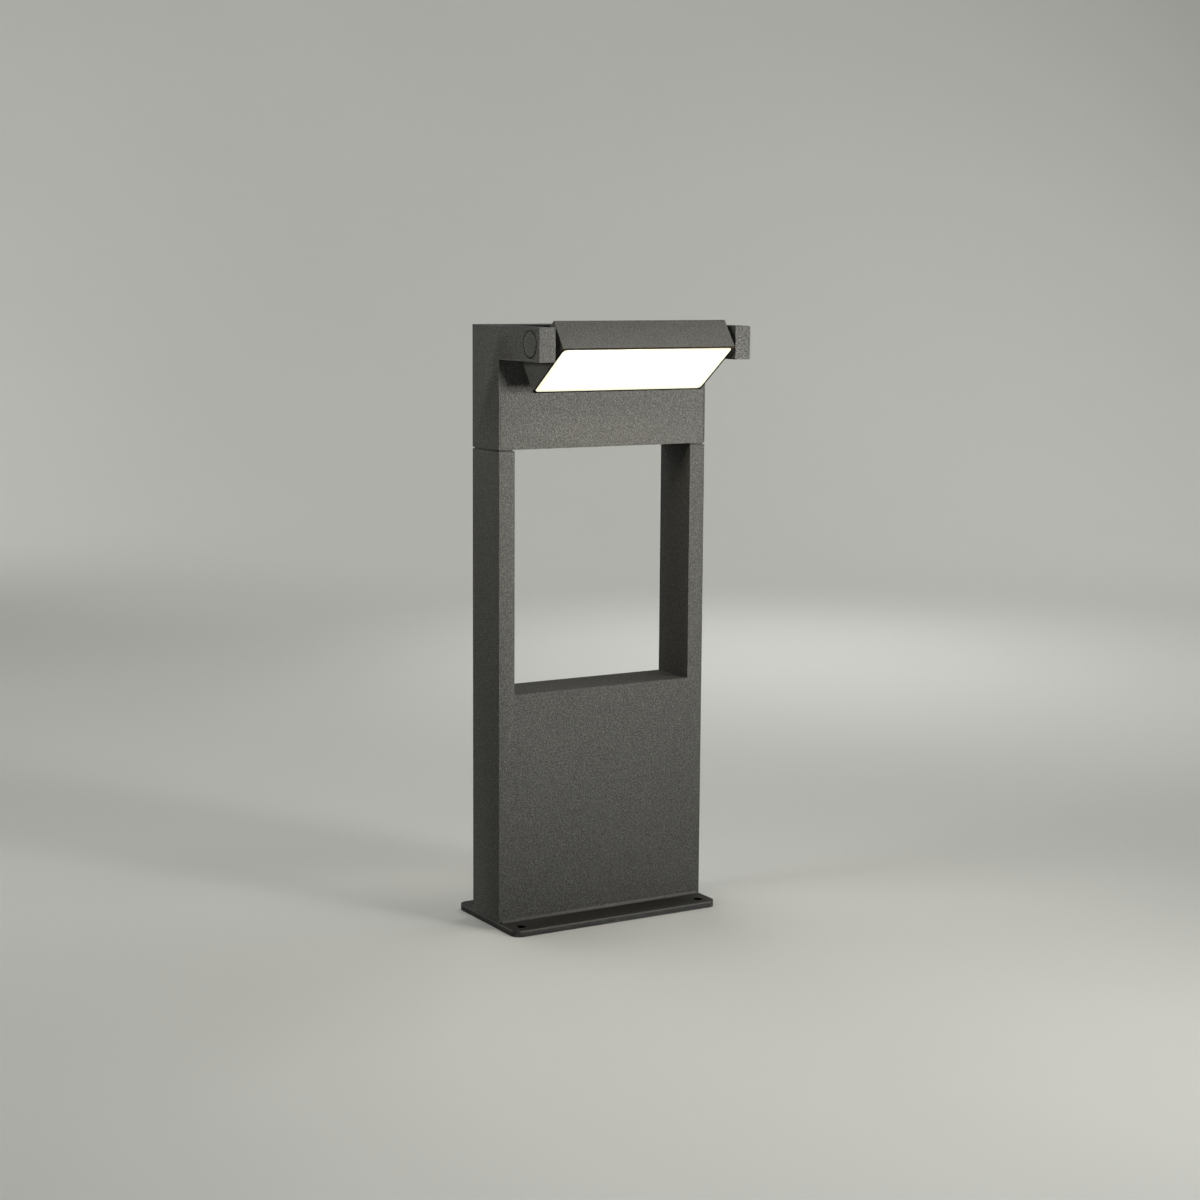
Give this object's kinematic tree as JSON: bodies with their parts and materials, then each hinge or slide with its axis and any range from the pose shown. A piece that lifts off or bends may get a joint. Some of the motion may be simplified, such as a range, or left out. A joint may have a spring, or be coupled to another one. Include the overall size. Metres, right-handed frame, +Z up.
{
  "type": "bollard light",
  "caption": "Low rectangular garden bollard light with an open window through the post and a slim LED lamp that tilts on a cross axle between two ears at the top.",
  "frame": {"origin": "centre of the foot plate's underside, on the ground", "axes": "+Z up the post, -Y to the front, where the ears and the lamp reach out, X along the width"},
  "size_m": [0.1992, 0.1471, 0.5048],
  "materials": {
    "powder_coat": "matte",
    "opal_diffuser": "satin",
    "steel": "satin",
    "rubber": "matte",
    "nylon": "matte",
    "white_plastic": "matte",
    "led_board": "satin",
    "terminal_plastic": "matte",
    "brass": "satin",
    "wire_brown": "matte",
    "wire_blue": "matte",
    "wire_green": "matte",
    "cable_black": "matte"
  },
  "bodies": {
    "post": {"base_plate": "powder_coat", "post_frame": "powder_coat", "weld_bead_front": "powder_coat", "weld_bead_rear": "powder_coat", "head_housing": "powder_coat", "head_front_cover": "powder_coat", "pivot_cap_left": "powder_coat", "pivot_cap_right": "powder_coat", "base_grommet_left": "rubber", "base_grommet_right": "rubber", "leg_gasket_left": "rubber", "leg_gasket_right": "rubber", "leg_grommet_left": "rubber", "leg_grommet_right": "rubber", "cover_gasket": "rubber", "cover_screw_left": "steel", "cover_screw_right": "steel", "head_screw_front_left": "steel", "head_screw_front_right": "steel", "head_screw_rear_left": "steel", "head_screw_rear_right": "steel", "terminal_screw_left": "steel", "terminal_screw_right": "steel", "driver_screw_left": "steel", "driver_screw_right": "steel", "earth_screw": "steel", "stop_pin": "steel", "bush_left": "nylon", "bush_right": "nylon", "driver": "white_plastic", "terminal_block": "terminal_plastic", "terminal_clamp_live": "brass", "terminal_clamp_neutral": "brass", "terminal_clamp_earth": "brass", "lead_live": "wire_brown", "lead_neutral": "wire_blue", "earth_lead": "wire_green", "lamp_cable": "cable_black"},
    "lamp_head": {"lamp_housing": "powder_coat", "diffuser": "opal_diffuser", "diffuser_gasket": "rubber", "reflector_tray": "white_plastic", "led_board": "led_board", "led_screw_1": "steel", "led_screw_2": "steel", "led_screw_3": "steel", "led_screw_4": "steel", "led_connector": "nylon", "led_lead": "cable_black", "axle_left": "steel", "axle_right": "steel", "axle_seal_left": "rubber", "axle_seal_right": "rubber", "lamp_nut_left": "steel", "lamp_nut_right": "steel", "friction_washer_left": "steel", "friction_washer_right": "steel", "ear_nut_left": "steel", "ear_nut_right": "steel"}
  },
  "joints": [
    {"name": "head_tilt", "type": "hinge", "parent": "post", "child": "lamp_head", "pos_m": [0, -0.0744, 0.4865], "axis": [1, 0, 0], "range_deg": [-54.1, 35.9]}
  ]
}
